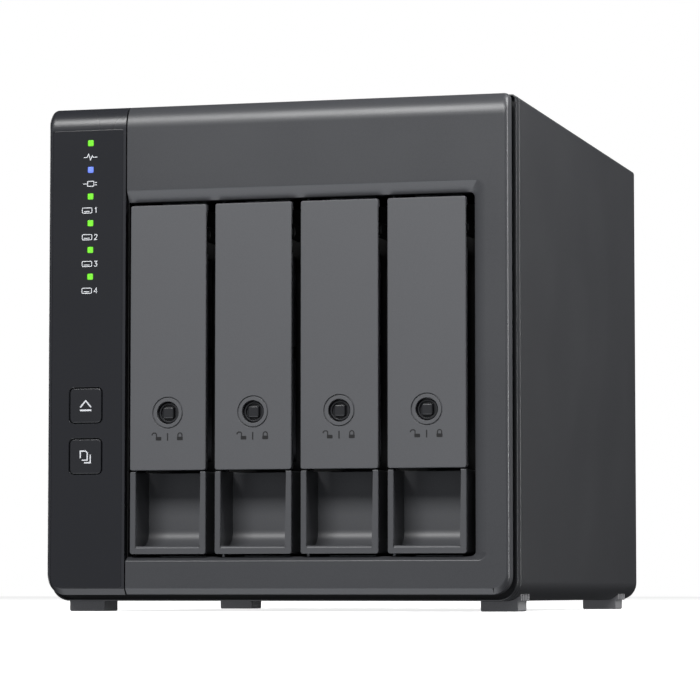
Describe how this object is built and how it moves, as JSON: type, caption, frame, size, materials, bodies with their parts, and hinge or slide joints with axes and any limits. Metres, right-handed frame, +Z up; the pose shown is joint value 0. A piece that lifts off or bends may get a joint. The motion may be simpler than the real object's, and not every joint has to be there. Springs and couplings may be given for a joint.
{
  "type": "network attached storage",
  "caption": "Desktop storage enclosure: charcoal box with upright lever-handled drive trays behind a framed front, status strip with push buttons, rear fan and sockets.",
  "frame": {"origin": "centre of the footprint on the surface the feet stand on", "axes": "+X to the right seen from the front, +Y to the back, +Z up; the front with the trays faces -Y"},
  "size_m": [0.16, 0.219, 0.1685],
  "materials": {
    "bezel": "fine satin grain, charcoal",
    "strip": "satin black moulding",
    "overlay": "glossy smoked black film",
    "tray_grey": "satin mid grey",
    "tray_dark": "satin dark grey",
    "lock": "satin black",
    "cover": "fine textured charcoal powder coat",
    "rim": "satin dark plastic",
    "galvanised": "galvanised sheet",
    "connector_black": "moulded connector plastic",
    "socket_metal": "tin-plated shell",
    "circuit_board": "solder resist",
    "light_guide": "clear moulded light guide",
    "drive_alloy": "cast and machined",
    "heat_sink": "anodised",
    "fan_plastic": "moulded glass-filled plastic",
    "lead": "insulated lead",
    "screw": "black nickel",
    "foot": "moulded rubber"
  },
  "bodies": {
    "chassis": {"front_bezel": "bezel", "status_strip": "strip", "strip_overlay": "overlay", "light_guide": "light_guide", "front_board": "circuit_board", "eject_switch": "connector_black", "copy_switch": "connector_black", "body_rim": "rim", "outer_cover": "cover", "base_plate": "cover", "rear_panel": "cover", "cover_screw_1": "screw", "cover_screw_2": "screw", "foot_front_left": "foot", "foot_front_right": "foot", "foot_back_left": "foot", "foot_back_right": "foot", "drive_cage": "galvanised", "backplane_board": "circuit_board", "controller_board": "circuit_board", "heat_sink": "heat_sink", "lan_socket": "socket_metal", "usb_socket_1": "socket_metal", "usb_socket_2": "socket_metal", "power_socket": "connector_black", "fan_frame": "fan_plastic", "fan_lead": "lead", "fan_screw_1": "screw", "fan_screw_2": "screw", "fan_screw_3": "screw", "fan_screw_4": "screw", "drive_connector_1": "connector_black", "drive_connector_2": "connector_black", "drive_connector_3": "connector_black", "drive_connector_4": "connector_black"},
    "tray_1": {"tray_1_carrier": "tray_dark", "tray_1_drive": "drive_alloy", "tray_1_strip": "tray_dark"},
    "handle_1": {"tray_1_handle": "tray_grey"},
    "lock_1": {"tray_1_lock": "lock"},
    "tray_2": {"tray_2_carrier": "tray_dark", "tray_2_drive": "drive_alloy", "tray_2_strip": "tray_dark"},
    "handle_2": {"tray_2_handle": "tray_grey"},
    "lock_2": {"tray_2_lock": "lock"},
    "tray_3": {"tray_3_carrier": "tray_dark", "tray_3_drive": "drive_alloy", "tray_3_strip": "tray_dark"},
    "handle_3": {"tray_3_handle": "tray_grey"},
    "lock_3": {"tray_3_lock": "lock"},
    "tray_4": {"tray_4_carrier": "tray_dark", "tray_4_drive": "drive_alloy", "tray_4_strip": "tray_dark"},
    "handle_4": {"tray_4_handle": "tray_grey"},
    "lock_4": {"tray_4_lock": "lock"},
    "copy_button": {"copy_button": "overlay"},
    "eject_button": {"eject_button": "overlay"},
    "rotor": {"fan_rotor": "fan_plastic"},
    "power_button": {"power_button": "strip"}
  },
  "joints": [
    {"name": "tray_1_slide", "type": "slide", "parent": "chassis", "child": "tray_1", "axis": [0, -1, 0], "range_m": [0, 0.175]},
    {"name": "tray_1_handle_hinge", "type": "hinge", "parent": "tray_1", "child": "handle_1", "pos_m": [-0.03655, -0.1057, 0.125], "axis": [-1, 0, 0], "range_deg": [0, 45]},
    {"name": "tray_1_lock_turn", "type": "hinge", "parent": "handle_1", "child": "lock_1", "pos_m": [-0.03655, -0.106, 0.0656], "axis": [0, 1, 0], "range_deg": [0, 90]},
    {"name": "tray_2_slide", "type": "slide", "parent": "chassis", "child": "tray_2", "axis": [0, -1, 0], "range_m": [0, 0.175]},
    {"name": "tray_2_handle_hinge", "type": "hinge", "parent": "tray_2", "child": "handle_2", "pos_m": [-0.00713, -0.1057, 0.125], "axis": [-1, 0, 0], "range_deg": [0, 45]},
    {"name": "tray_2_lock_turn", "type": "hinge", "parent": "handle_2", "child": "lock_2", "pos_m": [-0.00713, -0.106, 0.0656], "axis": [0, 1, 0], "range_deg": [0, 90]},
    {"name": "tray_3_slide", "type": "slide", "parent": "chassis", "child": "tray_3", "axis": [0, -1, 0], "range_m": [0, 0.175]},
    {"name": "tray_3_handle_hinge", "type": "hinge", "parent": "tray_3", "child": "handle_3", "pos_m": [0.02229, -0.1057, 0.125], "axis": [-1, 0, 0], "range_deg": [0, 45]},
    {"name": "tray_3_lock_turn", "type": "hinge", "parent": "handle_3", "child": "lock_3", "pos_m": [0.02229, -0.106, 0.0656], "axis": [0, 1, 0], "range_deg": [0, 90]},
    {"name": "tray_4_slide", "type": "slide", "parent": "chassis", "child": "tray_4", "axis": [0, -1, 0], "range_m": [0, 0.175]},
    {"name": "tray_4_handle_hinge", "type": "hinge", "parent": "tray_4", "child": "handle_4", "pos_m": [0.05171, -0.1057, 0.125], "axis": [-1, 0, 0], "range_deg": [0, 45]},
    {"name": "tray_4_lock_turn", "type": "hinge", "parent": "handle_4", "child": "lock_4", "pos_m": [0.05171, -0.106, 0.0656], "axis": [0, 1, 0], "range_deg": [0, 90]},
    {"name": "eject_button_press", "type": "slide", "parent": "chassis", "child": "eject_button", "axis": [0, 1, 0], "range_m": [0, 0.0008], "stiffness_N_per_m": 800, "springref_m": -0.0005},
    {"name": "copy_button_press", "type": "slide", "parent": "chassis", "child": "copy_button", "axis": [0, 1, 0], "range_m": [0, 0.0008], "stiffness_N_per_m": 800, "springref_m": -0.0005},
    {"name": "power_button_press", "type": "slide", "parent": "chassis", "child": "power_button", "axis": [0, -1, 0], "range_m": [0, 0.001], "stiffness_N_per_m": 800, "springref_m": -0.0005},
    {"name": "fan_spin", "type": "hinge", "parent": "chassis", "child": "rotor", "pos_m": [0.007, 0.0925, 0.085], "axis": [0, 1, 0], "continuous": true}
  ]
}
